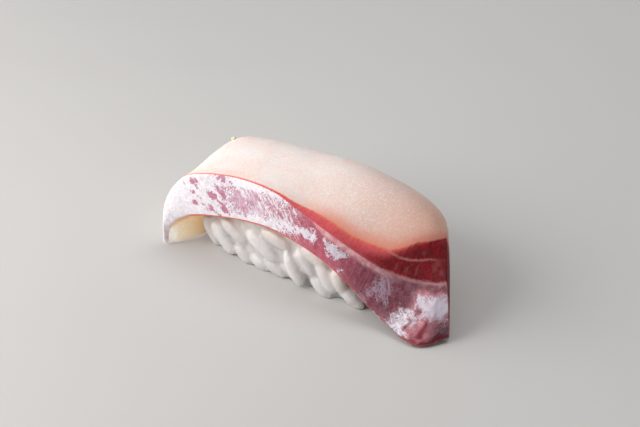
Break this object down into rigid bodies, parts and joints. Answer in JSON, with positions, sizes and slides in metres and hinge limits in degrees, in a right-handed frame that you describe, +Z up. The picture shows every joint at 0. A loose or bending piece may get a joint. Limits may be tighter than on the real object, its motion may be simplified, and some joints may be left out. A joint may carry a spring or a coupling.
{
  "type": "yellowtail nigiri",
  "caption": "Pressed pad of vinegared rice with a slice of raw yellowtail draped over it, its dark bloodline and silver skin side showing along one edge.",
  "frame": {"origin": "centre of the rice pad's flat underside, on the surface it rests on", "axes": "+X along the nigiri to the end where the slice reaches the plate, -Y to the skin side, +Z up"},
  "size_m": [0.0759, 0.0327, 0.0238],
  "materials": {
    "fish": "wet raw fish, pale flesh with a dark red band and a silver skin side",
    "rice": "moist cooked rice, slightly see-through"
  },
  "bodies": {
    "root": {"fish_slice": "fish", "rice_pad": "rice"}
  },
  "joints": []
}
